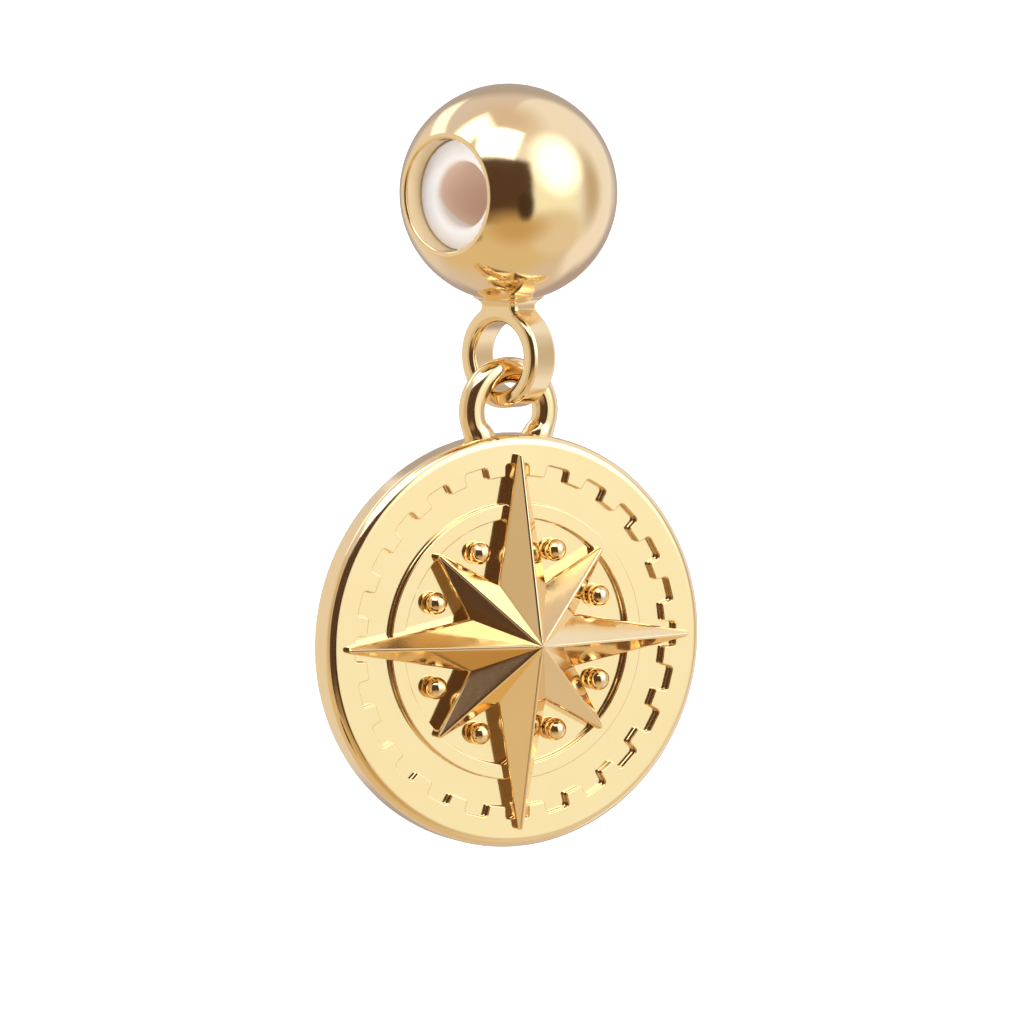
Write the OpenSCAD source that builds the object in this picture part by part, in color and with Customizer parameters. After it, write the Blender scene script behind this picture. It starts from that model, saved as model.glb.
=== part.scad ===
// A round compass pendant that hangs from a small through-bored bead.
// A ring soldered under the bead holds the bail loop of the medallion.
// The origin is the centre of the bead, the bore runs along X and the medallion hangs towards -Z.

/* [Bead] */
// Diameter of the polished ball
bead_d = 8; // [7:0.5:10]
// Diameter of the bore through the gold ball
bead_bore_d = 4.1; // [3.6:0.1:4.6]
// Width of the flat rim around each end of the bore
rim_w = 0.2; // [0.1:0.05:0.4]
// Rounding of the rim where it turns into the bore
rim_round = 0.1; // [0.05:0.01:0.15]

/* [Silicone insert] */
// Diameter of the hole that grips the bracelet
grip_hole_d = 2.4; // [1.8:0.1:2.8]
// How far the insert's faces lie behind the rims of the ball
insert_recess = 0.8; // [0.4:0.1:1.2]
// Rounding of the grip hole's edges
grip_round = 0.3; // [0.1:0.05:0.4]
// Gap between the insert and the bore that it is pressed into
insert_gap = 0.01; // [0:0.005:0.03]

/* [Hanger ring] */
// Outer diameter of the ring under the bead
ring_outer_d = 3.8; // [3.4:0.1:4.4]
// Thickness of the ring's band, outwards from its centre
ring_wall = 0.65; // [0.4:0.05:0.8]
// Width of the ring's band along the bore
ring_w = 1.3; // [0.8:0.1:1.5]
// Rounding of the band's edges
ring_round = 0.25; // [0.1:0.05:0.3]
// How far the ring's top stands below the ball
ring_drop = 0.1; // [0:0.05:0.5]
// Depth of the neck, across the bore
neck_depth = 1.75; // [1:0.05:2.2]
// Concave rounding between the neck and the ball
neck_fillet = 0.3; // [0.15:0.05:0.5]
// Concave rounding between the neck and the ring
neck_foot_fillet = 0.15; // [0.05:0.05:0.3]

/* [Medallion] */
// Diameter of the medallion
disc_d = 15.3; // [12:0.1:20]
// Thickness of the medallion
disc_t = 1.5; // [1:0.1:2]
// Rounding of the medallion's front and back edges
disc_round = 0.4; // [0.1:0.05:0.5]
// Turn of the hanging medallion away from square with the bore, in degrees
hang_turn = 20; // [0:1:20]

/* [Bail loop] */
// Diameter of the loop's round wire
loop_wire_d = 0.95; // [0.6:0.05:1]
// Diameter of the loop along the middle of its wire
loop_mean_d = 3; // [3:0.1:3.6]
// Height of the loop's centre over the medallion's edge
loop_rise = 0.83; // [0.7:0.01:1.2]
// Concave rounding between the loop's wire and the medallion's edge
loop_fillet = 0.35; // [0.1:0.05:0.4]
// Lift of the loop's wire over the middle of the ring's band, where the band's edges carry the turned loop
rest_lift = 0.27; // [0.25:0.01:0.4]

/* [Face relief] */
// Depth of the recessed floors under the face
relief_depth = 0.28; // [0.2:0.01:0.5]
// Radius of the castellated edge's inner stretches, as a share of the medallion's radius
castle_inner_share = 0.798; // [0.78:0.002:0.82]
// Radius of the notches' outer ends, as a share of the medallion's radius
castle_outer_share = 0.858; // [0.84:0.002:0.87]
// Number of notches in the castellated edge
castle_count = 24; // [16:4:28]
// Width of one notch
castle_w = 0.93; // [0.6:0.01:1.1]
// Rounding of a notch's outer corners
castle_round = 0.13; // [0.05:0.01:0.25]
// Outer radius of the raised ring, as a share of the medallion's radius
band_outer_share = 0.668; // [0.64:0.002:0.7]
// Inner radius of the raised ring, as a share of the medallion's radius
band_inner_share = 0.596; // [0.58:0.002:0.62]
// Rounding of the raised ring's top edges
band_round = 0.06; // [0.02:0.01:0.1]

/* [Compass star] */
// Reach of the four long arms, as a share of the medallion's radius
long_reach = 0.909; // [0.89:0.001:0.92]
// Reach of the four short arms, as a share of the medallion's radius
short_reach = 0.618; // [0.59:0.002:0.65]
// Distance of the notches between the arms from the centre, as a share of the medallion's radius
valley_reach = 0.312; // [0.28:0.002:0.36]
// Angle between a long arm and the notch beside it, in degrees
valley_turn = 24; // [20:0.5:26]
// Rounding of the arms' blunt tips
tip_round = 0.13; // [0.05:0.01:0.2]
// Height of the star's upright walls over the face
star_wall = 0.39; // [0.2:0.01:0.6]
// Height of the star's peak over the face
star_peak = 2.15; // [1:0.05:3]

/* [Granules] */
// Diameter of one ball granule
granule_d = 0.84; // [0.5:0.02:1]
// Distance of the granules from the centre, as a share of the medallion's radius
granule_reach = 0.48; // [0.46:0.005:0.49]
// Angle between a long arm and the granule beside it, in degrees
granule_turn = 25; // [22:0.5:28]
// How deep a granule is sunk into the recessed floor
granule_sink = 0.14; // [0.02:0.01:0.2]

/* [Hidden] */
$fn = 48;
overlap = 0.05; // run of one body into the next, so that they join
bead_r = bead_d / 2;
bore_r = bead_bore_d / 2;
rim_r = bore_r + rim_w;
rim_x = sqrt(pow(bead_r, 2) - pow(rim_r, 2)); // distance of each rim from the ball's centre
insert_r = bore_r - insert_gap;
insert_x = rim_x - insert_recess;
grip_r = grip_hole_d / 2;

ring_r = ring_outer_d / 2;
ring_hole_r = ring_r - ring_wall;
ring_z = -(bead_r + ring_drop + ring_r); // height of the ring's centre, the pivot of the medallion
neck_reach_z = -bead_r * 0.8; // where the neck ends inside the ball

loop_r = loop_mean_d / 2;
wire_r = loop_wire_d / 2;
disc_r = disc_d / 2;
loop_z = ring_z - ring_hole_r + rest_lift - (loop_r - wire_r);
loop_up = disc_r + loop_rise; // height of the loop's centre over the medallion's centre
disc_z = loop_z - loop_up;

face_z = disc_t / 2; // the face in the medallion's own frame, whose middle plane is zero
floor_z = face_z - relief_depth;
castle_inner_r = disc_r * castle_inner_share;
castle_outer_r = disc_r * castle_outer_share;
band_outer_r = disc_r * band_outer_share;
band_inner_r = disc_r * band_inner_share;
granule_r = granule_d / 2;
long_arms = 4;
quarter = 360 / long_arms;
tip_steps = 6;

// A rectangle with its lower left corner at zero and all four corners rounded
module rounded_rectangle(size, r) {
    translate([r, 0])
        square([size.x - 2 * r, size.y]);
    translate([0, r])
        square([size.x, size.y - 2 * r]);
    for (x = [r, size.x - r], y = [r, size.y - r])
        translate([x, y])
            circle(r);
}

// Half of the ball's section: x is the distance from the bore's axis, y runs along the bore
module ball_section() {
    difference() {
        intersection() {
            circle(bead_r, $fn = 96);
            translate([bore_r, -rim_x])
                square([bead_r, 2 * rim_x]);
        }
        for (side = [-1, 1])
            mirror([0, side < 0 ? 1 : 0])
                translate([bore_r, rim_x - rim_round])
                    difference() {
                        translate([-overlap, 0])
                            square([rim_round + overlap, rim_round + overlap]);
                        translate([rim_round, 0])
                            circle(rim_round);
                    }
    }
}

// The ring's band, revolved about the bore's direction
module ring_band() {
    translate([0, 0, ring_z])
        rotate([0, 90, 0])
            rotate_extrude($fn = 96)
                translate([ring_hole_r, -ring_w / 2])
                    rounded_rectangle([ring_wall, ring_w], ring_round);
}

// Outline of the neck from one side: upright flanks that flare out with a concave rounding at the ball
module neck_outline(width, z_low, z_flare) {
    half = width / 2;
    difference() {
        translate([-half - neck_fillet, z_low])
            square([width + 2 * neck_fillet, neck_reach_z - z_low]);
        for (side = [-1, 1]) {
            translate([side * (half + neck_fillet), z_flare])
                circle(neck_fillet);
            translate([side * (half + neck_fillet) - neck_fillet, z_low - overlap])
                square([2 * neck_fillet, z_flare - z_low + overlap]);
        }
    }
}

// Height of the ball's underside at a distance from its lowest point
function ball_under(away) = -sqrt(pow(bead_r, 2) - pow(away, 2));

// The solder neck between the ball and the ring: a block with flared head
module neck() {
    half = neck_depth / 2;
    z_low = ring_z + ring_hole_r + ring_wall / 2;
    z_flare_y = ball_under(half + neck_fillet) - neck_fillet;
    z_flare_x = ball_under(ring_w / 2 + neck_fillet) - neck_fillet;
    long = neck_depth + ring_w + 2 * neck_fillet;
    intersection() {
        rotate([90, 0, 90])
            linear_extrude(long, center = true)
                neck_outline(neck_depth, z_low, z_flare_y);
        rotate([90, 0, 0])
            linear_extrude(long, center = true)
                neck_outline(ring_w, z_low, z_flare_x);
    }
}

// Concave rounding in the corner where the neck meets the ring's outer circle
module neck_foot() {
    half = neck_depth / 2;
    f = neck_foot_fillet;
    // the rounding's circle touches the neck's flank and the ring from outside
    cy = half + f;
    cz = sqrt(pow(ring_r + f, 2) - pow(cy, 2));
    touch = (ring_r - overlap) / (ring_r + f);
    translate([0, 0, ring_z])
        rotate([90, 0, 90])
            linear_extrude(ring_w - 2 * ring_round, center = true)
                for (side = [-1, 1])
                    mirror([side < 0 ? 1 : 0, 0])
                        difference() {
                            polygon([[half - overlap, cz], [cy, cz], [cy * touch, cz * touch],
                                [half - overlap, cz * touch]]);
                            translate([cy, cz])
                                circle(f);
                        }
}

// The gold bead with its soldered ring, one solid
module bead() {
    color("#E7C179") {
        rotate([0, -90, 0])
            rotate_extrude($fn = 96)
                ball_section();
        ring_band();
        neck();
        neck_foot();
    }
}

// The white insert pressed into the ball, with a soft-edged grip hole
module silicone_insert() {
    color("#F4F1F0")
        rotate([0, 90, 0])
            rotate_extrude($fn = 72)
                difference() {
                    translate([grip_r, -insert_x])
                        square([insert_r - grip_r, 2 * insert_x]);
                    for (side = [-1, 1])
                        mirror([0, side < 0 ? 1 : 0])
                            translate([grip_r, insert_x - grip_round])
                                difference() {
                                    translate([-overlap, 0])
                                        square([grip_round + overlap, grip_round + overlap]);
                                    translate([grip_round, 0])
                                        circle(grip_round);
                                }
                }
}

// The plain disc with rounded edges
module disc() {
    rotate_extrude($fn = 96)
        translate([0, -disc_t / 2]) {
            square([disc_r - disc_round, disc_t]);
            translate([0, disc_round])
                square([disc_r, disc_t - 2 * disc_round]);
            for (y = [disc_round, disc_t - disc_round])
                translate([disc_r - disc_round, y])
                    circle(disc_round);
        }
}

// One notch of the castellated edge, pointing along x
module castle_notch() {
    start = castle_inner_r * 0.9;
    end = castle_outer_r;
    translate([start, -castle_w / 2])
        square([end - castle_round - start, castle_w]);
    translate([start, -castle_w / 2 + castle_round])
        square([end - start, castle_w - 2 * castle_round]);
    for (side = [-1, 1])
        translate([end - castle_round, side * (castle_w / 2 - castle_round)])
            circle(castle_round, $fn = 24);
}

// Outline of the whole recess: a round floor with notches cut outwards
module castle_outline() {
    circle(castle_inner_r, $fn = 96);
    for (i = [0 : castle_count - 1])
        rotate(i * 360 / castle_count)
            castle_notch();
}

// The raised ring that stands on the recessed floor
module raised_band() {
    width = band_outer_r - band_inner_r;
    rotate_extrude($fn = 96)
        translate([band_inner_r, floor_z - overlap]) {
            square([width, relief_depth + overlap - band_round]);
            translate([band_round, 0])
                square([width - 2 * band_round, relief_depth + overlap]);
            for (x = [band_round, width - band_round])
                translate([x, relief_depth + overlap - band_round])
                    circle(band_round, $fn = 24);
        }
}

function polar(r, turn) = [r * cos(turn), r * sin(turn)];

// The rounded tip of an arm as points, from its right flank to its left one.
// The flanks run from the two notches beside the arm and touch the tip's circle.
function arm_tip(turn, reach, spread) =
    let (along = disc_r * valley_reach * cos(spread),
        aside = disc_r * valley_reach * sin(spread),
        centre = reach - tip_round,
        slope = atan2(aside, centre - along) - asin(tip_round / norm([centre - along, aside])),
        sweep = 90 - slope)
    [for (i = [0 : tip_steps])
        polar(centre, turn) + polar(tip_round, turn - sweep + 2 * sweep * i / tip_steps)];

// The star's outline as points: a long arm, a notch, a short arm and a notch in each quarter
function star_points() =
    [for (i = [0 : long_arms - 1]) each concat(
        arm_tip(i * quarter, disc_r * long_reach, valley_turn),
        [polar(disc_r * valley_reach, i * quarter + valley_turn)],
        arm_tip((i + 0.5) * quarter, disc_r * short_reach, quarter / 2 - valley_turn),
        [polar(disc_r * valley_reach, (i + 1) * quarter - valley_turn)])];

// The star: upright walls from under the floor, and flat facets that rise to the peak
module star() {
    outline = star_points();
    n = len(outline);
    low = floor_z - overlap;
    wall = face_z + star_wall;
    polyhedron(
        points = concat(
            [for (p = outline) [p.x, p.y, low]],
            [for (p = outline) [p.x, p.y, wall]],
            [[0, 0, face_z + star_peak]]),
        faces = concat(
            [[for (i = [0 : n - 1]) i]],
            [for (i = [0 : n - 1]) [i, i + n, (i + 1) % n + n, (i + 1) % n]],
            [for (i = [0 : n - 1]) [i + n, 2 * n, (i + 1) % n + n]]));
}

// The eight ball granules, one on each side of every long arm
module granules() {
    for (i = [0 : long_arms - 1], side = [-1, 1])
        rotate(i * quarter + side * granule_turn)
            translate([disc_r * granule_reach, 0, floor_z + granule_r - granule_sink])
                sphere(granule_r);
}

// The round-wire bail loop, standing in the medallion's middle plane
module bail_loop() {
    translate([0, loop_up])
        rotate_extrude($fn = 72)
            translate([loop_r, 0])
                circle(wire_r, $fn = 36);
}

// A thin web that rounds the corners where the loop's wire meets the medallion's edge
module loop_web() {
    // the outer rounding's circle touches the loop and the disc from outside
    outer = loop_r + wire_r;
    f = loop_fillet;
    y = (pow(disc_r + f, 2) - pow(outer + f, 2) + pow(loop_up, 2)) / (2 * loop_up);
    x = sqrt(pow(disc_r + f, 2) - pow(y, 2));
    on_disc = disc_r / (disc_r + f);
    on_loop = outer / (outer + f);
    linear_extrude(loop_wire_d * 0.55, center = true)
        for (side = [-1, 1])
            mirror([side < 0 ? 1 : 0, 0])
                difference() {
                    polygon([[x * on_loop, loop_up + (y - loop_up) * on_loop], [x, y], [x * on_disc, y * on_disc],
                        [loop_r, disc_r - 2 * wire_r]]);
                    translate([x, y])
                        circle(f);
                }
}

// The medallion in its own frame: the face looks along +Z and the loop stands on +Y
module medallion_flat() {
    difference() {
        disc();
        translate([0, 0, floor_z])
            linear_extrude(relief_depth + overlap)
                castle_outline();
    }
    raised_band();
    star();
    granules();
    bail_loop();
    loop_web();
}

// The medallion as it hangs, one casting
module medallion() {
    color("#F3D48D")
        translate([0, 0, disc_z])
            rotate([90, 0, -hang_turn])
                medallion_flat();
}

bead();
silicone_insert();
medallion();
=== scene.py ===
# Compass pendant on a through-bored bead: the finish of its surfaces, the studio around it and its camera.
# The packed model is the frame. All places are in metres in its frame: the origin is the bead's centre,
# the bore runs along X and the medallion hangs towards -Z.

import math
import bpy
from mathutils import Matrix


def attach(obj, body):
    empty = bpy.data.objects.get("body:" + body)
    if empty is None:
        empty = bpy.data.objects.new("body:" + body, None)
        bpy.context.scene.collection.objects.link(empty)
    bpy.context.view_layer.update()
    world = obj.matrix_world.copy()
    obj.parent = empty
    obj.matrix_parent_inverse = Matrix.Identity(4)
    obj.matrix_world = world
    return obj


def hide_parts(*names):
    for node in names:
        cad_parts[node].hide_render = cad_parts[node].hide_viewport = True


bl_info = {
    "name": "Compass pendant",
    "version": (1, 0, 0),
    "blender": (4, 5, 0),
    "location": "View3D > Sidebar > Pendant",
    "description": "Polished meshes, gold and silicone finishes and a soft studio for a compass pendant",
    "category": "Object",
}

import bmesh
import bpy
from bpy.props import FloatProperty, FloatVectorProperty, IntProperty, PointerProperty
from mathutils import Matrix, Vector

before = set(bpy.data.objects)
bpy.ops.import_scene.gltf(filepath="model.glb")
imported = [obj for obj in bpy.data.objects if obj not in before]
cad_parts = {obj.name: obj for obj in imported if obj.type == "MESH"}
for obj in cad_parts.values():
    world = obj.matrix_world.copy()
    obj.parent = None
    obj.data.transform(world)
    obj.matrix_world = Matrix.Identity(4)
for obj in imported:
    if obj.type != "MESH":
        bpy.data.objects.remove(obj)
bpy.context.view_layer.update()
MM = 0.001
VALLEY_MITRE = 1.64  # run of the star's edge rounding along a valley, for each millimetre across its flanks
CREASE = math.radians(28)  # faces that lean apart by more than this meet in a sharp line
WELD = 2e-7  # distance at which the repeated sectors' meeting points merge
HAIR = 0.004 * MM  # how far the neck stands inside the ring's flat sides
BALL_STEPS = 256  # faces around the ball
RING_STEPS = 192  # faces around the ring and the lining
LOOP_STEPS = 160  # faces along the bail loop's wire
WIRE_STEPS = 48  # faces around the bail loop's wire and around a granule
NECK_STEPS = 60  # faces up the neck


def length(name, about, millimetres):
    """A length property, given in millimetres and held in metres"""
    return FloatProperty(name=name, description=about, default=millimetres * MM, unit="LENGTH", precision=5)


def angle(name, about, degrees):
    """An angle property, given in degrees"""
    return FloatProperty(name=name, description=about, default=math.radians(degrees), subtype="ANGLE")


def share(name, about, value):
    """A share from nought to one"""
    return FloatProperty(name=name, description=about, default=value, min=0, max=1, subtype="FACTOR")


def linear(code):
    """The linear colour of an sRGB hex value"""
    parts = [int(code[i : i + 2], 16) / 255 for i in (0, 2, 4)]
    return tuple(c / 12.92 if c <= 0.04045 else ((c + 0.055) / 1.055) ** 2.4 for c in parts)


def colour(name, about, code):
    """A colour property, given as an sRGB hex value"""
    return FloatVectorProperty(
        name=name, description=about, default=linear(code), subtype="COLOR", size=3, min=0)


class PendantBead(bpy.types.PropertyGroup):
    """Sizes of the ball, its lining and the hanger ring under it"""

    ball_d: length("Ball", "Diameter of the polished ball", 8)
    bore_d: length("Bore", "Diameter of the bore through the gold ball", 4.1)
    rim_w: length("Rim", "Width of the flat rim around each end of the bore", 0.2)
    rim_round: length("Rim rounding", "Rounding of the rim where it turns into the bore", 0.1)
    rim_break: length("Rim break", "Rounding of the rim's outer edge, left by the polishing mop", 0.09)
    grip_d: length("Grip hole", "Diameter of the hole through the silicone", 2.4)
    recess: length("Lining recess", "How far the lining's faces lie behind the rims", 0.8)
    grip_round: length("Grip rounding", "Rounding of the grip hole's edges", 0.3)
    lining_gap: length("Lining gap", "Gap between the lining and the bore", 0.01)
    lining_round: length("Lining rounding", "Rounding of the lining's outer edges", 0.06)
    ring_d: length("Ring", "Outer diameter of the hanger ring", 3.8)
    ring_wall: length("Band thickness", "Thickness of the ring's band, outwards from its centre", 0.65)
    ring_w: length("Band width", "Width of the ring's band along the bore", 1.3)
    ring_round: length("Band rounding", "Rounding of the band's edges", 0.25)
    ring_drop: length("Ring drop", "How far the ring's top stands below the ball", 0.1)
    neck_d: length("Neck", "Depth of the solder neck across the bore", 1.75)
    neck_fillet: length("Neck fillet", "Concave rounding between the neck and the ball", 0.3)
    neck_foot: length("Neck foot", "Concave rounding between the neck and the ring", 0.28)


class PendantMedallion(bpy.types.PropertyGroup):
    """Sizes of the disc, its relief and the bail loop"""

    disc_d: length("Disc", "Diameter of the medallion", 15.3)
    disc_t: length("Thickness", "Thickness of the medallion", 1.5)
    disc_round: length("Edge rounding", "Rounding of the medallion's front and back edges", 0.4)
    turn: angle("Turn", "Turn of the hanging medallion away from square with the bore", 20)
    wire_d: length("Loop wire", "Diameter of the loop's round wire", 0.95)
    loop_d: length("Loop", "Diameter of the loop along the middle of its wire", 3)
    loop_rise: length("Loop rise", "Height of the loop's centre over the medallion's edge", 0.83)
    loop_flare: length("Loop flare", "Growth of the wire's radius where it meets the medallion's edge", 0.07)
    loop_spread: length("Flare reach", "How far the flare runs on both sides of the edge", 0.5)
    rest_lift: length("Loop lift", "Lift of the loop's wire over the middle of the ring's band", 0.27)
    relief: length("Relief", "Depth of the recessed floors under the face", 0.28)
    edge_break: length("Edge break", "Rounding of the relief's top edges", 0.045)
    foot: length("Relief foot", "Concave rounding where the relief's walls meet the floor", 0.03)
    castle_count: IntProperty(name="Notches", description="Notches in the castellated edge", default=24)
    castle_inner: share("Castle inner", "Radius of the edge's inner stretches, as a share of the disc", 0.798)
    castle_outer: share("Castle outer", "Radius of the notches' outer ends, as a share of the disc", 0.858)
    castle_w: length("Notch", "Width of one notch", 0.93)
    castle_round: length("Notch rounding", "Rounding of a notch's outer corners", 0.13)
    tooth_round: length("Tooth rounding", "Rounding of the teeth's corners beside a notch", 0.09)
    band_outer: share("Band outer", "Outer radius of the raised ring, as a share of the disc", 0.668)
    band_inner: share("Band inner", "Inner radius of the raised ring, as a share of the disc", 0.596)


class PendantStar(bpy.types.PropertyGroup):
    """Sizes of the compass star and the granules between its arms"""

    long_reach: share("Long arms", "Reach of the four long arms, as a share of the disc", 0.909)
    short_reach: share("Short arms", "Reach of the four short arms, as a share of the disc", 0.618)
    valley_reach: share("Valleys", "Distance of the notches between the arms, as a share of the disc", 0.312)
    valley_turn: angle("Valley turn", "Angle between a long arm and the notch beside it", 24)
    tip_round: length("Tip rounding", "Rounding of the arms' blunt tips", 0.13)
    wall: length("Wall", "Height of the upright walls over the face", 0.39)
    peak: length("Peak", "Height of the star's peak over the face", 2.15)
    ridge_w: length("Ridge", "Half width of the rounding along each ridge", 0.07)
    edge_w: length("Star edge", "Rounding between the facets and the walls", 0.07)
    granule_d: length("Granule", "Diameter of one ball granule", 0.84)
    granule_reach: share(
        "Granule reach", "Distance of the granules from the centre, as a share of the disc", 0.48)
    granule_turn: angle("Granule turn", "Angle between a long arm and the granule beside it", 25)
    granule_sink: length("Granule sink", "How deep a granule is sunk into the floor", 0.14)


class PendantFinish(bpy.types.PropertyGroup):
    """Colours and surface of the gold and the silicone"""

    gold: colour("Gold", "Colour of the gold plate", "FFE9C0")
    gold_deep: colour("Deep gold", "Colour of the plate where it is a little thicker", "FDE4B4")
    gold_rough: share("Gold roughness", "Roughness of the polished plate", 0.1)
    silicone: colour("Silicone", "Colour of the silicone", "FCFBFB")
    # painted shade: this colour on the grip hole's wall stands for its shadow and the warm light the gold
    # throws into it, not for a tint of the silicone
    silicone_painted_shade: colour(
        "Painted hole shade", "Colour of the grip hole's wall, warmed by the gold around it", "F6E0D0")


class PendantStudio(bpy.types.PropertyGroup):
    """The camera and the floor"""

    azimuth: angle("Azimuth", "Direction of the camera around the pendant", -46.26)
    elevation: angle("Elevation", "Height of the camera's line of sight", 5)
    distance: length("Distance", "From the camera to the medallion's face along the line of sight", 248)
    aside: length("Aside", "How far the medallion's face centre lies right of the picture's middle", 0.2)
    below: length("Below", "How far the medallion's face centre lies below the picture's middle", 4.766)
    lens: FloatProperty(
        name="Lens", description="Focal length in millimetres on a 36 mm sensor", default=236.95)
    floor_drop: length("Floor", "Height of the bead's centre over the floor", 60)


GROUPS = {
    "pendant_bead": PendantBead,
    "pendant_medallion": PendantMedallion,
    "pendant_star": PendantStar,
    "pendant_finish": PendantFinish,
    "pendant_studio": PendantStudio,
}


# Points and meshes

def arc(x, y, radius, start, end, steps):
    """Points on an arc about (x, y), from one angle to another in degrees"""
    turns = [math.radians(start + (end - start) * i / steps) for i in range(steps + 1)]
    return [(x + radius * math.cos(t), y + radius * math.sin(t)) for t in turns]


def polar(radius, turn):
    return (radius * math.cos(turn), radius * math.sin(turn))


def skin(rows, wrap):
    """A mesh whose faces join each row of points to the next. A row of one point is a pole.
    wrap joins each row's last point to its first."""
    mesh = bmesh.new()
    made = [[mesh.verts.new(point) for point in row] for row in rows]
    for low, high in zip(made, made[1:]):
        count = max(len(low), len(high))
        for i in range(count if wrap else count - 1):
            j = (i + 1) % count
            corners = [low[i % len(low)], low[j % len(low)], high[j % len(high)], high[i % len(high)]]
            mesh.faces.new(list(dict.fromkeys(corners)))
    return mesh


def revolved(outline, steps):
    """A closed outline of (radius, height) points turned about Z"""
    turns = [2 * math.pi * i / steps for i in range(steps)]
    rows = [[(*polar(r, t), z) for t in turns] for r, z in outline]
    return skin(rows + rows[:1], True)


def plain_mesh(mesh, name):
    """A Blender mesh from a bmesh, with its doubles merged and its faces outwards"""
    bmesh.ops.remove_doubles(mesh, verts=mesh.verts, dist=1e-7)
    bmesh.ops.recalc_face_normals(mesh, faces=mesh.faces)
    data = bpy.data.meshes.new(name)
    mesh.to_mesh(data)
    mesh.free()
    return data


def shown(name, data):
    """An object for a mesh, a lamp or a camera, linked to the scene"""
    piece = bpy.data.objects.new(name, data)
    bpy.context.scene.collection.objects.link(piece)
    return piece


def evaluated(piece):
    """The plain mesh that an object's modifiers make. The object is removed."""
    bpy.context.view_layer.update()
    data = bpy.data.meshes.new_from_object(piece.evaluated_get(bpy.context.evaluated_depsgraph_get()))
    bpy.data.objects.remove(piece)
    return data


def polished_normals(mesh):
    """A normal for each corner that follows the larger faces around it, so that a flat reflects flat right
    up to its rounded edge. Faces that lean apart by more than the crease angle don't blend."""
    limit = math.cos(CREASE)
    pull = {face: face.normal * face.calc_area() ** 2 for face in mesh.faces}

    def blended(vert, face):
        near = [pull[other] for other in vert.link_faces if other.normal.dot(face.normal) > limit]
        return sum(near, Vector()).normalized()

    return [blended(vert, face) for face in mesh.faces for vert in face.verts]


def fused(name, parts, place):
    """One polished piece from several meshes, put in its place"""
    mesh = bmesh.new()
    for data in parts:
        mesh.from_mesh(data)
        bpy.data.meshes.remove(data)
    mesh.transform(place)
    bmesh.ops.recalc_face_normals(mesh, faces=mesh.faces)
    # areas in square millimetres keep their squares within the numbers' range
    mesh.transform(Matrix.Scale(1 / MM, 4))
    mesh.normal_update()
    normals = polished_normals(mesh)
    mesh.transform(Matrix.Scale(MM, 4))
    data = bpy.data.meshes.new(name)
    mesh.to_mesh(data)
    mesh.free()
    data.shade_smooth()
    data.normals_split_custom_set(normals)
    return shown(name, data)


# Node trees

def add(tree, kind, inputs=None, **settings):
    """Adds a node with its settings. inputs gives a value, or another node's output, for each input."""
    node = tree.nodes.new(kind)
    for key, value in settings.items():
        setattr(node, key, value)
    for key, value in (inputs or {}).items():
        if isinstance(value, bpy.types.NodeSocket):
            tree.links.new(value, node.inputs[key])
        else:
            node.inputs[key].default_value = value
    return node


def calc(tree, operation, *values):
    """The output of a math node. Each of its values is a number or another node's output."""
    return add(tree, "ShaderNodeMath", dict(enumerate(values)), operation=operation).outputs[0]


def vector(tree, **axes):
    """The output of a vector with the given axes"""
    return add(tree, "ShaderNodeCombineXYZ", axes).outputs[0]


def size_of(tree, place):
    """The output of a vector's length"""
    return add(tree, "ShaderNodeVectorMath", {0: place}, operation="LENGTH").outputs["Value"]


def mixed(tree, factor, low, high):
    """The output of a mix of two colours. Each is a value or another node's output."""
    inputs = {0: factor, 6: low, 7: high}  # a mix node's own numbers for its factor and its two colours
    return add(tree, "ShaderNodeMix", inputs, data_type="RGBA").outputs[2]


def geometry_tree(name, takes):
    """A geometry tree and its inputs: the geometry, those that takes names with their types, and the finish"""
    tree = bpy.data.node_groups.new(name, "GeometryNodeTree")
    tree.interface.new_socket("Geometry", in_out="INPUT", socket_type="NodeSocketGeometry")
    for key, kind in {**takes, "Finish": "NodeSocketMaterial"}.items():
        tree.interface.new_socket(key, in_out="INPUT", socket_type=kind)
    tree.interface.new_socket("Geometry", in_out="OUTPUT", socket_type="NodeSocketGeometry")
    return tree, add(tree, "NodeGroupInput").outputs


def finished(tree, given, made):
    """Gives what a node has made the tree's finish and sends it out"""
    finish = add(tree, "GeometryNodeSetMaterial", {"Geometry": made.outputs[0], "Material": given["Finish"]})
    add(tree, "NodeGroupOutput", {"Geometry": finish.outputs[0]})
    return tree


def made_by(tree, data, **values):
    """The plain mesh that a geometry tree makes from a mesh, with the given inputs"""
    piece = shown(tree.name, data)
    modifier = piece.modifiers.new(tree.name, "NODES")
    modifier.node_group = tree
    for item in tree.interface.items_tree:
        if item.in_out == "INPUT" and item.name in values:
            modifier[item.identifier] = values[item.name]
    return evaluated(piece)


def repeat_tree():
    """Copies its geometry around Z and welds the copies where their edges meet"""
    tree, given = geometry_tree("repeated_around", {"Count": "NodeSocketInt"})
    points = add(tree, "GeometryNodePoints", {"Count": given["Count"]})
    index = add(tree, "GeometryNodeInputIndex").outputs[0]
    turn = calc(tree, "MULTIPLY", index, calc(tree, "DIVIDE", 2 * math.pi, given["Count"]))
    copies = add(tree, "GeometryNodeInstanceOnPoints", {
        "Points": points.outputs[0], "Instance": given["Geometry"], "Rotation": vector(tree, Z=turn)})
    real = add(tree, "GeometryNodeRealizeInstances", {"Geometry": copies.outputs[0]})
    weld = add(tree, "GeometryNodeMergeByDistance", {"Geometry": real.outputs[0], "Distance": WELD})
    return finished(tree, given, weld)


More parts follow.
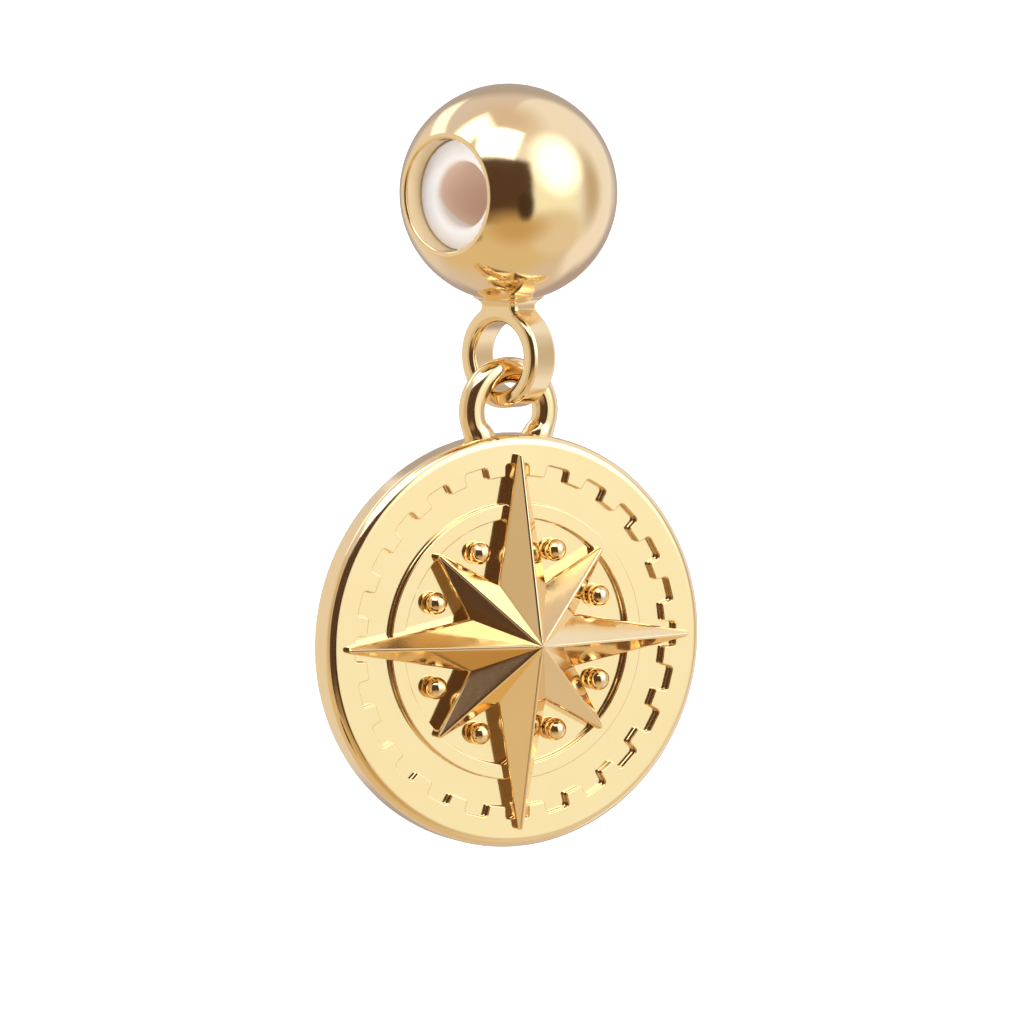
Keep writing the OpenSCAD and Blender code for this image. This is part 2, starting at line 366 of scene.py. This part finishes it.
def granule_tree():
    """Ball granules in pairs, one on each side of every long arm"""
    tree, given = geometry_tree("granules", {
        "Pairs": "NodeSocketInt", "Radius": "NodeSocketFloat", "Reach": "NodeSocketFloat",
        "Turn": "NodeSocketFloat", "Height": "NodeSocketFloat"})
    points = add(tree, "GeometryNodePoints", {"Count": calc(tree, "MULTIPLY", given["Pairs"], 2.0)})
    index = add(tree, "GeometryNodeInputIndex").outputs[0]
    pair = calc(tree, "FLOOR", calc(tree, "DIVIDE", index, 2.0))
    arm = calc(tree, "MULTIPLY", pair, calc(tree, "DIVIDE", 2 * math.pi, given["Pairs"]))
    side = calc(tree, "MULTIPLY_ADD", calc(tree, "MODULO", index, 2.0), 2.0, -1.0)
    turn = calc(tree, "MULTIPLY_ADD", side, given["Turn"], arm)
    away = vector(tree, X=given["Reach"], Z=given["Height"])
    place = add(tree, "ShaderNodeVectorRotate", {"Vector": away, "Angle": turn}, rotation_type="Z_AXIS")
    placed = add(tree, "GeometryNodeSetPosition", {
        "Geometry": points.outputs[0], "Position": place.outputs[0]})
    ball = add(tree, "GeometryNodeMeshUVSphere", {
        "Segments": WIRE_STEPS, "Rings": WIRE_STEPS // 2, "Radius": given["Radius"]})
    copies = add(tree, "GeometryNodeInstanceOnPoints", {
        "Points": placed.outputs[0], "Instance": ball.outputs["Mesh"]})
    real = add(tree, "GeometryNodeRealizeInstances", {"Geometry": copies.outputs[0]})
    return finished(tree, given, real)


def loop_tree():
    """A closed loop of round wire in the XY plane, which swells a little where it crosses the disc's edge"""
    lengths = ("Radius", "Wire", "Rise", "Edge", "Spread", "Flare")
    tree, given = geometry_tree("bail_loop", dict.fromkeys(lengths, "NodeSocketFloat"))
    path = add(tree, "GeometryNodeCurvePrimitiveCircle", {
        "Resolution": LOOP_STEPS, "Radius": given["Radius"]})
    raised = add(tree, "GeometryNodeSetPosition", {
        "Geometry": path.outputs[0], "Offset": vector(tree, Y=given["Rise"])})
    away = size_of(tree, add(tree, "GeometryNodeInputPosition").outputs[0])
    near = calc(tree, "ABSOLUTE", calc(tree, "SUBTRACT", away, given["Edge"]))
    thick = add(tree, "ShaderNodeMapRange", {
        "Value": near, "From Min": given["Spread"], "From Max": 0.0,
        "To Min": given["Wire"], "To Max": given["Flare"]}, interpolation_type="SMOOTHERSTEP")
    section = add(tree, "GeometryNodeCurvePrimitiveCircle", {"Resolution": WIRE_STEPS, "Radius": 1.0})
    wire = add(tree, "GeometryNodeCurveToMesh", {
        "Curve": raised.outputs[0], "Profile Curve": section.outputs[0], "Scale": thick.outputs[0]})
    real = add(tree, "GeometryNodeRealizeInstances", {"Geometry": wire.outputs[0]})
    return finished(tree, given, real)


# The bead

def ball_mesh(bead):
    """The ball with its bore, turned about the bore's direction"""
    r = bead.ball_d / 2
    bore = bead.bore_d / 2
    rim = bore + bead.rim_w
    end = math.sqrt(r**2 - rim**2)
    soft = bead.rim_break
    # the outer edge's rounding touches the ball from inside and the flat rim
    across = math.sqrt((r - soft) ** 2 - (end - soft) ** 2)
    lean = math.degrees(math.atan2(end - soft, across))
    half = arc(0, 0, r, 0, lean, 60)[1:-1]
    half += arc(across, end - soft, soft, lean, 90, 5)
    half += arc(bore + bead.rim_round, end - bead.rim_round, bead.rim_round, 90, 180, 8)
    half += [(bore, (end - bead.rim_round) * i / 4) for i in (3, 2, 1)]
    outline = [(r, 0)] + half + [(bore, 0)] + [(a, -b) for a, b in reversed(half)]
    mesh = revolved(outline, BALL_STEPS)
    mesh.transform(Matrix.Rotation(math.radians(90), 4, "Y"))
    return plain_mesh(mesh, "ball")


def ring_depth(bead):
    """Distance of the ring's centre under the ball's centre"""
    return bead.ball_d / 2 + bead.ring_drop + bead.ring_d / 2


def ring_mesh(bead):
    """The hanger ring's band with its rounded edges, turned about the bore's direction"""
    r = bead.ring_d / 2
    half = bead.ring_w / 2
    soft = bead.ring_round
    front = arc(r - soft, half - soft, soft, 0, 90, 8)
    front += arc(r - bead.ring_wall + soft, half - soft, soft, 90, 180, 8)
    mesh = revolved(front + [(a, -b) for a, b in reversed(front)], RING_STEPS)
    mesh.transform(Matrix.Translation((0, 0, -ring_depth(bead))) @ Matrix.Rotation(math.radians(90), 4, "Y"))
    return plain_mesh(mesh, "ring")


def neck_mesh(bead):
    """The solder neck, in rounded sections from inside the ring's band up into the ball, with concave
    roundings at both"""
    drop = ring_depth(bead)
    r = bead.ring_d / 2
    soft = bead.ring_round
    foot = bead.neck_foot
    fillet = bead.neck_fillet
    foot_y = math.sqrt((r + foot) ** 2 - (bead.neck_d / 2 + foot) ** 2)

    def flared(half, height):
        """Half a side of the neck at a height over the ring's centre, with its flare into the ball"""
        start = drop - math.sqrt((bead.ball_d / 2 + fillet) ** 2 - (half + fillet) ** 2)
        lift = min(max(height - start, 0), fillet * 0.97)
        return half + fillet - math.sqrt(fillet**2 - lift**2)

    # both ends lie inside the metal of the band and of the ball
    low = r - bead.ring_wall + soft
    high = drop - bead.ball_d * 0.4
    rows = [[(0, 0, low - drop)]]
    for i in range(NECK_STEPS + 1):
        height = low + (high - low) * i / NECK_STEPS
        # the foot's rounding ends where it touches the ring
        sink = min(max(foot_y - height, 0), foot_y * foot / (r + foot))
        across = flared(bead.neck_d / 2, height) + foot - math.sqrt(foot**2 - sink**2)
        deep = flared(bead.ring_w / 2 - HAIR, height)
        corner = arc(deep - soft, across - soft, soft, 0, 90, 6)
        half = corner + [(-x, y) for x, y in reversed(corner)]
        rows.append([(x, y, height - drop) for x, y in half + [(-x, -y) for x, y in half]])
    rows.append([(0, 0, high - drop)])
    return plain_mesh(skin(rows, True), "neck")


def lining_end(bead):
    """Distance of the lining's faces from the ball's centre"""
    return math.sqrt((bead.ball_d / 2) ** 2 - (bead.bore_d / 2 + bead.rim_w) ** 2) - bead.recess


def lining_mesh(bead):
    """The silicone lining with its soft-edged grip hole"""
    end = lining_end(bead)
    outer = bead.bore_d / 2 - bead.lining_gap
    grip = bead.grip_d / 2
    half = arc(outer - bead.lining_round, end - bead.lining_round, bead.lining_round, 0, 90, 5)
    half += arc(grip + bead.grip_round, end - bead.grip_round, bead.grip_round, 90, 180, 12)
    outline = half + [(a, -b) for a, b in reversed(half)]
    mesh = revolved(outline, RING_STEPS)
    mesh.transform(Matrix.Rotation(math.radians(90), 4, "Y"))
    return plain_mesh(mesh, "lining")


# The medallion, made lying flat with its face along +Z and its loop on +Y

def notch_outline(medal):
    """Half of one notch from its middle to the middle of the next tooth, as (x, y, normal x, normal y) rows.
    The normals point into the metal."""
    inner = medal.disc_d / 2 * medal.castle_inner
    outer = medal.disc_d / 2 * medal.castle_outer
    half = medal.castle_w / 2
    deep = medal.castle_round
    tooth = medal.tooth_round
    points = [(outer, 0, 1, 0)]
    points += [(x, y, (x - outer + deep) / deep, (y - half + deep) / deep)
        for x, y in arc(outer - deep, half - deep, deep, 0, 90, 5)]
    tooth_y = half + tooth
    tooth_x = math.sqrt((inner + tooth) ** 2 - tooth_y**2)
    lean = math.degrees(math.atan2(tooth_y, tooth_x))
    points += [(x, y, (tooth_x - x) / tooth, (tooth_y - y) / tooth)
        for x, y in arc(tooth_x, tooth_y, tooth, 270, 180 + lean, 5)]
    middle = 180 / medal.castle_count
    points += [(x, y, x / inner, y / inner) for x, y in arc(0, 0, inner, lean, middle, 3)[1:]]
    return points


def disc_sector(medal):
    """One notch's sector of the disc, with its share of the rim, the floor, the raised ring and the back"""
    r = medal.disc_d / 2
    top = medal.disc_t / 2
    soft = medal.disc_round
    edge = medal.edge_break
    foot = medal.foot
    floor = top - medal.relief
    half = notch_outline(medal)
    outline = [(x, -y, nx, -ny) for x, y, nx, ny in reversed(half)][:-1] + half
    turns = [math.atan2(y, x) for x, y, _, _ in outline]

    def around(radius, height):
        return [(*polar(radius, t), height) for t in turns] if radius > 0 else [(0, 0, height)]

    def along(outwards, height):
        return [(x + nx * outwards, y + ny * outwards, height) for x, y, nx, ny in outline]

    band_out = r * medal.band_outer
    band_in = r * medal.band_inner
    rows = [around(r * s, -top) for s in (0, 0.25, 0.5, 0.75)]
    rows += [around(a, b) for a, b in arc(r - soft, soft - top, soft, -90, 0, 8)]
    rows += [around(a, b) for a, b in arc(r - soft, top - soft, soft, 0, 90, 8)]
    rows += [along(edge - a, top - edge + b) for a, b in arc(0, 0, edge, 90, 0, 4)]
    rows += [along(a - foot, b) for a, b in arc(0, floor + foot, foot, 0, -90, 3)]
    rows += [around(a, b) for a, b in arc(band_out + foot, floor + foot, foot, 270, 180, 3)]
    rows += [around(a, b) for a, b in arc(band_out - edge, top - edge, edge, 0, 90, 4)]
    rows += [around(a, b) for a, b in arc(band_in + edge, top - edge, edge, 90, 180, 4)]
    rows += [around(a, b) for a, b in arc(band_in - foot, floor + foot, foot, 0, -90, 3)]
    rows += [around(band_in * s, floor) for s in (0.6, 0.3, 0)]
    return plain_mesh(skin(rows, False), "disc_sector")


def arm_outline(reach, valley, spread, tip, steps):
    """Half of an arm's outline from tip to valley, as (along, aside, normal along, normal aside) rows"""
    along = valley * math.cos(spread)
    aside = valley * math.sin(spread)
    centre = reach - tip
    slope = math.atan2(aside, centre - along) - math.asin(tip / math.hypot(centre - along, aside))
    last = 90 - math.degrees(slope)
    points = [(x, y, (x - centre) / tip, y / tip) for x, y in arc(centre, 0, tip, 0, last, steps)]
    x, y, nx, ny = points[-1]
    points += [(x + (along - x) * s, y + (aside - y) * s, nx, ny) for s in (0.1, 0.3, 0.55, 0.8)]
    # at the valley both arms' outlines move in together, towards the star's centre
    points.append((along, aside, math.cos(spread) * VALLEY_MITRE, math.sin(spread) * VALLEY_MITRE))
    return points


def arm_half(medal, star, reach, spread):
    """Half of an arm from its ridge to a valley, as columns from the outline's points to the ridge"""
    r = medal.disc_d / 2
    top = medal.disc_t / 2
    tip_steps = 5
    outline = arm_outline(r * reach, r * star.valley_reach, spread, star.tip_round, tip_steps)
    fall = (star.peak - star.wall) / (r * reach)
    along = r * star.valley_reach * math.cos(spread)
    aside = r * star.valley_reach * math.sin(spread)
    lean = (star.peak - star.wall - fall * along) / aside

    def height(x, y):
        """Height of the facet, rounded beside the ridge"""
        soft = max(min(star.ridge_w, 0.3 * math.hypot(x, y)), 1e-9)
        away = y if y >= soft else (y * y + soft * soft) / (2 * soft)
        return top + star.peak - fall * x - lean * away

    edge = star.edge_w
    under = top - medal.relief - edge
    columns = []
    for i, (x, y, nx, ny) in enumerate(outline):
        column = [(0, 0, under), (x, y, under), (x, y, top)]
        for a, b in arc(0, 0, edge, 0, 90, 5):
            px = x - nx * (edge - a)
            py = y - ny * (edge - a)
            column.append((px, py, height(px, py) - edge + b))
        for s in (0.012, 0.03, 0.06, 0.12, 0.25, 0.5, 0.75, 0.9, 0.96, 0.99, 1):
            ax = px * (1 - s)
            ay = py * (1 - s)
            if i <= tip_steps:
                ridge = min(star.ridge_w, 0.3 * ax) * i / tip_steps
                blend = min(s / 0.03, 1)
                ay = py * (1 - s) * (1 - blend) + ridge * blend
            column.append((ax, ay, height(ax, ay)))
        columns.append(column)
    return columns


def star_quarter(medal, star):
    """A long and a short arm with the valleys on both sides"""
    quarter = math.pi / 2
    long_arm = arm_half(medal, star, star.long_reach, star.valley_turn)
    short_arm = arm_half(medal, star, star.short_reach, quarter / 2 - star.valley_turn)
    mesh = bmesh.new()
    for columns, turn in ((long_arm, 0), (short_arm, quarter / 2)):
        for side in (-1, 1):
            part = skin(list(zip(*[[(x, side * y, z) for x, y, z in column] for column in columns])), False)
            part.transform(Matrix.Rotation(turn, 4, "Z"))
            data = bpy.data.meshes.new("arm")
            part.to_mesh(data)
            mesh.from_mesh(data)
            bpy.data.meshes.remove(data)
    bmesh.ops.remove_doubles(mesh, verts=mesh.verts, dist=1e-8)
    return plain_mesh(mesh, "star_quarter")


def hanging_place(bead, medal):
    """Turns the flat medallion upright and hangs it in the ring"""
    ring_z = -ring_depth(bead)
    hole = bead.ring_d / 2 - bead.ring_wall
    loop_z = ring_z - hole + medal.rest_lift - (medal.loop_d / 2 - medal.wire_d / 2)
    centre = Vector((0, 0, loop_z - medal.disc_d / 2 - medal.loop_rise))
    turned = Matrix.Translation(centre) @ Matrix.Rotation(-medal.turn, 4, "Z")
    return turned @ Matrix.Rotation(math.pi / 2, 4, "X")


# Finishes

def surface(name):
    """A new material with its node tree and its shader"""
    material = bpy.data.materials.new(name)
    material.use_nodes = True
    return material, material.node_tree, material.node_tree.nodes["Principled BSDF"]


def noise(tree, place, grain, detail):
    """The output of a noise with grains of the given size"""
    return add(tree, "ShaderNodeTexNoise", {
        "Vector": place, "Scale": 1 / grain, "Detail": detail}).outputs["Fac"]


def gold_plate(name, finish, ripple):
    """Gold plate over brass, polished on a mop. The eye gets near-mirror reflections, broken a little by the
    polishing ripple, and fine grain where the mop couldn't reach."""
    material, tree, shader = surface(name)
    place = add(tree, "ShaderNodeTexCoord").outputs["Object"]
    # the plate's thickness varies over about 2 mm, and its colour with it
    cloud = noise(tree, place, 2 * MM, 2.0)
    tone = mixed(tree, cloud, (*finish.gold, 1), (*finish.gold_deep, 1))
    # grit of 0.05 mm, as left by the polishing paste
    grit = noise(tree, place, 0.05 * MM, 3.0)
    rough = add(tree, "ShaderNodeMapRange", {
        "Value": grit, "From Min": 0.3, "From Max": 0.7,
        "To Min": finish.gold_rough * 0.6, "To Max": finish.gold_rough * 1.4})
    # ripple of 0.4 mm, as the mop leaves it
    wave = noise(tree, place, 0.4 * MM, 1.0)
    bump = add(tree, "ShaderNodeBump", {"Height": wave, "Strength": 1.0, "Distance": ripple})
    tree.links.new(tone, shader.inputs["Base Color"])
    tree.links.new(rough.outputs[0], shader.inputs["Roughness"])
    tree.links.new(bump.outputs[0], shader.inputs["Normal"])
    shader.inputs["Metallic"].default_value = 1
    return material


def silicone(finish, bead):
    """White silicone rubber, moulded against a satin tool. The eye gets soft milky shading without gloss
    lines."""
    material, tree, shader = surface("moulded_silicone_satin")
    place = add(tree, "ShaderNodeTexCoord").outputs["Object"]
    # satin of the mould, 0.08 mm
    satin = noise(tree, place, 0.08 * MM, 2.0)
    rough = add(tree, "ShaderNodeMapRange", {"Value": satin, "To Min": 0.38, "To Max": 0.55})
    bump = add(tree, "ShaderNodeBump", {"Height": satin, "Strength": 0.3, "Distance": 0.004 * MM})
    # painted shade and bounce light: the grip hole's wall is painted warm for its shadow and the gold's warm
    # light on it, but stays white low down beside the openings, a painted patch of the light that falls in
    # there
    blend = 0.1 * MM
    slant = 0.75  # run of the light's edge along the bore, for each millimetre up
    axes = add(tree, "ShaderNodeSeparateXYZ", {0: place}).outputs
    depth = calc(tree, "SUBTRACT", lining_end(bead), calc(tree, "ABSOLUTE", axes["X"]))
    rise = calc(tree, "MULTIPLY_ADD", axes["Z"], slant, depth)
    above = add(tree, "ShaderNodeMapRange", {"Value": rise, "From Min": -blend, "From Max": blend})
    radius = size_of(tree, vector(tree, Y=axes["Y"], Z=axes["Z"]))
    # mask of the painted shade: the hole's wall, less the painted light low down by the openings
    wall = add(tree, "ShaderNodeMapRange", {
        "Value": radius, "From Min": bead.grip_d / 2 + blend, "From Max": bead.grip_d / 2,
        "To Max": above.outputs[0]})
    tone = mixed(tree, wall.outputs[0], (*finish.silicone, 1), (*finish.silicone_painted_shade, 1))
    tree.links.new(tone, shader.inputs["Base Color"])
    shader.inputs["IOR"].default_value = 1.41
    shader.inputs["Subsurface Weight"].default_value = 0.5
    shader.inputs["Subsurface Radius"].default_value = (1, 0.8, 0.7)
    shader.inputs["Subsurface Scale"].default_value = 0.6 * MM
    tree.links.new(rough.outputs[0], shader.inputs["Roughness"])
    tree.links.new(bump.outputs[0], shader.inputs["Normal"])
    return material


# The studio

def directions(studio, aside, above):
    """Right, up and outward unit vectors of a panel, aside of the camera's own direction and above the
    level, in degrees"""
    a = studio.azimuth + math.radians(aside)
    e = math.radians(above)
    outward = Vector((math.sin(a) * math.cos(e), -math.cos(a) * math.cos(e), math.sin(e)))
    right = Vector((math.cos(a), math.sin(a), 0))
    return right, outward.cross(right), outward


ROOM = "D9D2D6"  # the room's tone between its panels
PANELS = [
    # name, degrees aside of the camera's direction and above the level, half width and half height as
    # tangents, share of the edge that is soft, round or not, colour, brightness
    ("floor", 0, -88, 1.2, 1.2, 0.4, True, "D8CBC2", 1.0),
    ("left wall", -78, -2, 0.62, 0.7, 0.35, False, "CDB791", 1.0),
    ("far left wall", -114, -4, 0.75, 0.6, 0.5, False, "E8DED0", 1.0),
    ("left floor", -75, -42, 0.7, 0.6, 0.4, True, "DDC6A2", 1.0),
    ("near floor", 12, -56, 0.8, 0.7, 0.45, True, "DBC69E", 1.0),
    ("right wall", 84, 28, 1.85, 1.7, 0.08, True, "F2F0F4", 1.0),
    ("far right wall", 122, -24, 0.5, 0.5, 0.3, True, "F4F0F4", 1.0),
    ("bright corner", 50, 0, 0.5, 0.6, 0.5, False, "FAFCED", 1.0),
    ("right corner", 100, 2, 0.22, 0.45, 0.8, True, "C4B4A4", 1.0),
    ("right floor", 62, -36, 0.6, 0.4, 0.35, True, "E2D5C1", 1.0),
    ("back wall", 180, 8, 0.5, 0.9, 0.4, True, "B8B0B0", 0.95),
    ("back floor", 172, -26, 0.45, 0.3, 0.5, False, "B8A8A8", 0.95),
    ("camera side", -9, 4, 0.7, 0.7, 0.14, False, "564030", 1.0),
    ("lower left corner", -47, -40, 0.15, 0.13, 0.3, True, "523C2E", 1.0),
    ("ceiling", -20, 84, 0.5, 0.4, 0.8, True, "D9C7BA", 1.0),
    ("near floor's edge", 9, -36, 0.55, 0.28, 0.8, True, "CCAA76", 0.95),
    ("camera", 19, -12, 0.15, 0.26, 0.35, True, "473426", 1.0),
    ("right softbox", 60, 28, 0.46, 0.46, 0.55, True, "FFFFFF", 2.0),
    ("top panel", -17, 57, 0.36, 0.3, 0.14, False, "FFFFFF", 2.4),
    ("left panel", -80, 62, 0.2, 0.25, 0.3, False, "FFFFFF", 2.0),
    ("back left panel", -130, 35, 0.4, 0.12, 0.25, False, "FFFFFF", 1.4),
]


def studio_light(studio):
    """A plain room of soft panels around the pendant, dark where the camera stands"""
    world = bpy.data.worlds.new("studio")
    world.use_nodes = True
    tree = world.node_tree
    tree.nodes.clear()
    ray = add(tree, "ShaderNodeTexCoord").outputs["Generated"]
    light = (*linear(ROOM), 1)
    for name, aside, above, wide, high, edge, is_round, code, bright in PANELS:
        x, y, z = [
            add(tree, "ShaderNodeVectorMath", {0: ray, 1: axis}, operation="DOT_PRODUCT").outputs["Value"]
            for axis in directions(studio, aside, above)]
        ahead = calc(tree, "MAXIMUM", z, 0.001)
        shares = [calc(tree, "DIVIDE", calc(tree, "DIVIDE", s, ahead), size)
            for s, size in ((x, wide), (y, high))]
        if is_round:
            away = size_of(tree, vector(tree, X=shares[0], Y=shares[1]))
        else:
            away = calc(tree, "MAXIMUM", *[calc(tree, "ABSOLUTE", s) for s in shares])
        inside = add(tree, "ShaderNodeMapRange", {
            "Value": away, "From Min": 1 + edge, "From Max": 1 - edge}, interpolation_type="SMOOTHSTEP")
        shade = tuple(c * bright for c in linear(code))
        light = mixed(tree, inside.outputs[0], light, (*shade, 1))
        light.node.label = name
    background = add(tree, "ShaderNodeBackground", {"Color": light})
    white = add(tree, "ShaderNodeBackground", {"Color": (1, 1, 1, 1)})
    path = add(tree, "ShaderNodeLightPath")
    seen = add(tree, "ShaderNodeMixShader", {
        0: path.outputs["Is Camera Ray"], 1: background.outputs[0], 2: white.outputs[0]})
    add(tree, "ShaderNodeOutputWorld", {"Surface": seen.outputs[0]})
    # the gold finds the panels by its reflections alone
    world.cycles.sampling_method = "NONE"
    bpy.context.scene.world = world


def facing(spot, right, up, outward):
    """The place of a lamp or camera at a spot, looking against the outward direction"""
    return Matrix.Translation(spot) @ Matrix((right, up, outward)).transposed().to_4x4()


def silicone_lamp(studio):
    """A soft lamp left of the camera that whitens the silicone and stays out of the gold's reflections"""
    aside, above, away = -58, 22, 0.4  # degrees from the camera's direction and the level, and metres
    right, up, outward = directions(studio, aside, above)
    data = bpy.data.lights.new("silicone_lamp", "AREA")
    data.shape = "DISK"
    data.size = 0.12
    data.energy = 0.2
    data.color = (0.82, 0.92, 1)
    lamp = shown("silicone_lamp", data)
    lamp.matrix_world = facing(outward * away, right, up, outward)
    lamp.visible_glossy = False


def studio_floor(studio):
    """A wide pale floor. It is left out of the gold's reflections, where the room's own floor panel stands
    for it."""
    size = 6
    mesh = skin([[(x, y, -studio.floor_drop) for x in (-size, size)] for y in (-size, size)], False)
    floor = shown("floor", plain_mesh(mesh, "floor"))
    material, _, shader = surface("painted_floor_matt")
    shader.inputs["Base Color"].default_value = (0.9, 0.9, 0.9, 1)
    shader.inputs["Roughness"].default_value = 0.9
    shader.inputs["Emission Color"].default_value = (1, 1, 1, 1)
    shader.inputs["Emission Strength"].default_value = 0.45
    floor.data.materials.append(material)
    floor.visible_glossy = False


def studio_camera(studio, place, medal):
    """The camera at the photograph's angle"""
    right, up, back = directions(studio, 0, math.degrees(studio.elevation))
    face = place @ Vector((0, 0, medal.disc_t / 2))
    spot = face - right * studio.aside + up * studio.below + back * studio.distance
    data = bpy.data.cameras.new("camera")
    data.lens = studio.lens
    data.sensor_width = 36
    data.clip_start = 0.01
    data.clip_end = 50
    camera = shown("camera", data)
    camera.matrix_world = facing(spot, right, up, back)
    bpy.context.scene.camera = camera


def carried(piece, material, body, node):
    """Gives a finished piece its material and its place in the frame"""
    piece.data.materials.clear()
    piece.data.materials.append(material)
    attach(piece, body)
    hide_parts(node)


class PENDANT_OT_bead(bpy.types.Operator):
    """Makes the polished ball with its soldered hanger ring"""

    bl_idname = "pendant.bead"
    bl_label = "Bead and hanger ring"

    def execute(self, context):
        bead = context.scene.pendant_bead
        piece = fused("polished_bead", [ball_mesh(bead), ring_mesh(bead), neck_mesh(bead)], Matrix())
        gold = gold_plate("gold_plate_mirror_polished", context.scene.pendant_finish, 0.0006 * MM)
        carried(piece, gold, "bead_body", "bead")
        return {"FINISHED"}


class PENDANT_OT_lining(bpy.types.Operator):
    """Makes the white silicone lining of the bore"""

    bl_idname = "pendant.lining"
    bl_label = "Silicone lining"

    def execute(self, context):
        bead = context.scene.pendant_bead
        piece = fused("silicone_lining", [lining_mesh(bead)], Matrix())
        rubber = silicone(context.scene.pendant_finish, bead)
        carried(piece, rubber, "bead_body", "silicone_insert")
        return {"FINISHED"}


class PENDANT_OT_medallion(bpy.types.Operator):
    """Makes the medallion, one casting: disc, castellated edge, raised ring, star, granules and bail loop"""

    bl_idname = "pendant.medallion"
    bl_label = "Compass medallion"

    def execute(self, context):
        medal = context.scene.pendant_medallion
        star = context.scene.pendant_star
        gold = gold_plate("gold_plate_cast_and_polished", context.scene.pendant_finish, 0.001 * MM)
        r = medal.disc_d / 2
        repeat = repeat_tree()
        disc = made_by(repeat, disc_sector(medal), Count=medal.castle_count, Finish=gold)
        arms = made_by(repeat, star_quarter(medal, star), Count=4, Finish=gold)
        granule_r = star.granule_d / 2
        granules = made_by(granule_tree(), bpy.data.meshes.new("granules"), Pairs=4, Radius=granule_r,
            Reach=r * star.granule_reach, Turn=star.granule_turn,
            Height=medal.disc_t / 2 - medal.relief + granule_r - star.granule_sink, Finish=gold)
        loop = made_by(loop_tree(), bpy.data.meshes.new("bail_loop"), Radius=medal.loop_d / 2,
            Wire=medal.wire_d / 2, Rise=r + medal.loop_rise, Edge=r, Spread=medal.loop_spread,
            Flare=medal.wire_d / 2 + medal.loop_flare, Finish=gold)
        place = hanging_place(context.scene.pendant_bead, medal)
        piece = fused("compass_medallion", [disc, arms, granules, loop], place)
        carried(piece, gold, "medallion_body", "medallion")
        return {"FINISHED"}


class PENDANT_OT_studio(bpy.types.Operator):
    """Sets up the floor, the soft light and the camera"""

    bl_idname = "pendant.studio"
    bl_label = "Studio"

    def execute(self, context):
        scene = context.scene
        studio_light(scene.pendant_studio)
        silicone_lamp(scene.pendant_studio)
        studio_floor(scene.pendant_studio)
        place = hanging_place(scene.pendant_bead, scene.pendant_medallion)
        studio_camera(scene.pendant_studio, place, scene.pendant_medallion)
        scene.view_settings.view_transform = "Standard"
        return {"FINISHED"}


STEPS = [PENDANT_OT_bead, PENDANT_OT_lining, PENDANT_OT_medallion, PENDANT_OT_studio]


class PENDANT_PT_panel(bpy.types.Panel):
    """Lists the pendant's pieces and their sizes"""

    bl_label = "Compass pendant"
    bl_space_type = "VIEW_3D"
    bl_region_type = "UI"
    bl_category = "Pendant"

    def draw(self, context):
        for step in STEPS:
            self.layout.operator(step.bl_idname)
        for name, group in GROUPS.items():
            box = self.layout.box()
            box.label(text=group.__doc__)
            for key in group.__annotations__:
                box.prop(getattr(context.scene, name), key)


def register():
    for item in [*GROUPS.values(), *STEPS, PENDANT_PT_panel]:
        bpy.utils.register_class(item)
    for name, group in GROUPS.items():
        setattr(bpy.types.Scene, name, PointerProperty(type=group))


def unregister():
    for name in GROUPS:
        delattr(bpy.types.Scene, name)
    for item in [PENDANT_PT_panel, *reversed(STEPS), *reversed(GROUPS.values())]:
        bpy.utils.unregister_class(item)


def main():
    register()
    bpy.ops.pendant.bead()
    bpy.ops.pendant.lining()
    bpy.ops.pendant.medallion()
    bpy.ops.pendant.studio()


if __name__ == "__main__":
    main()
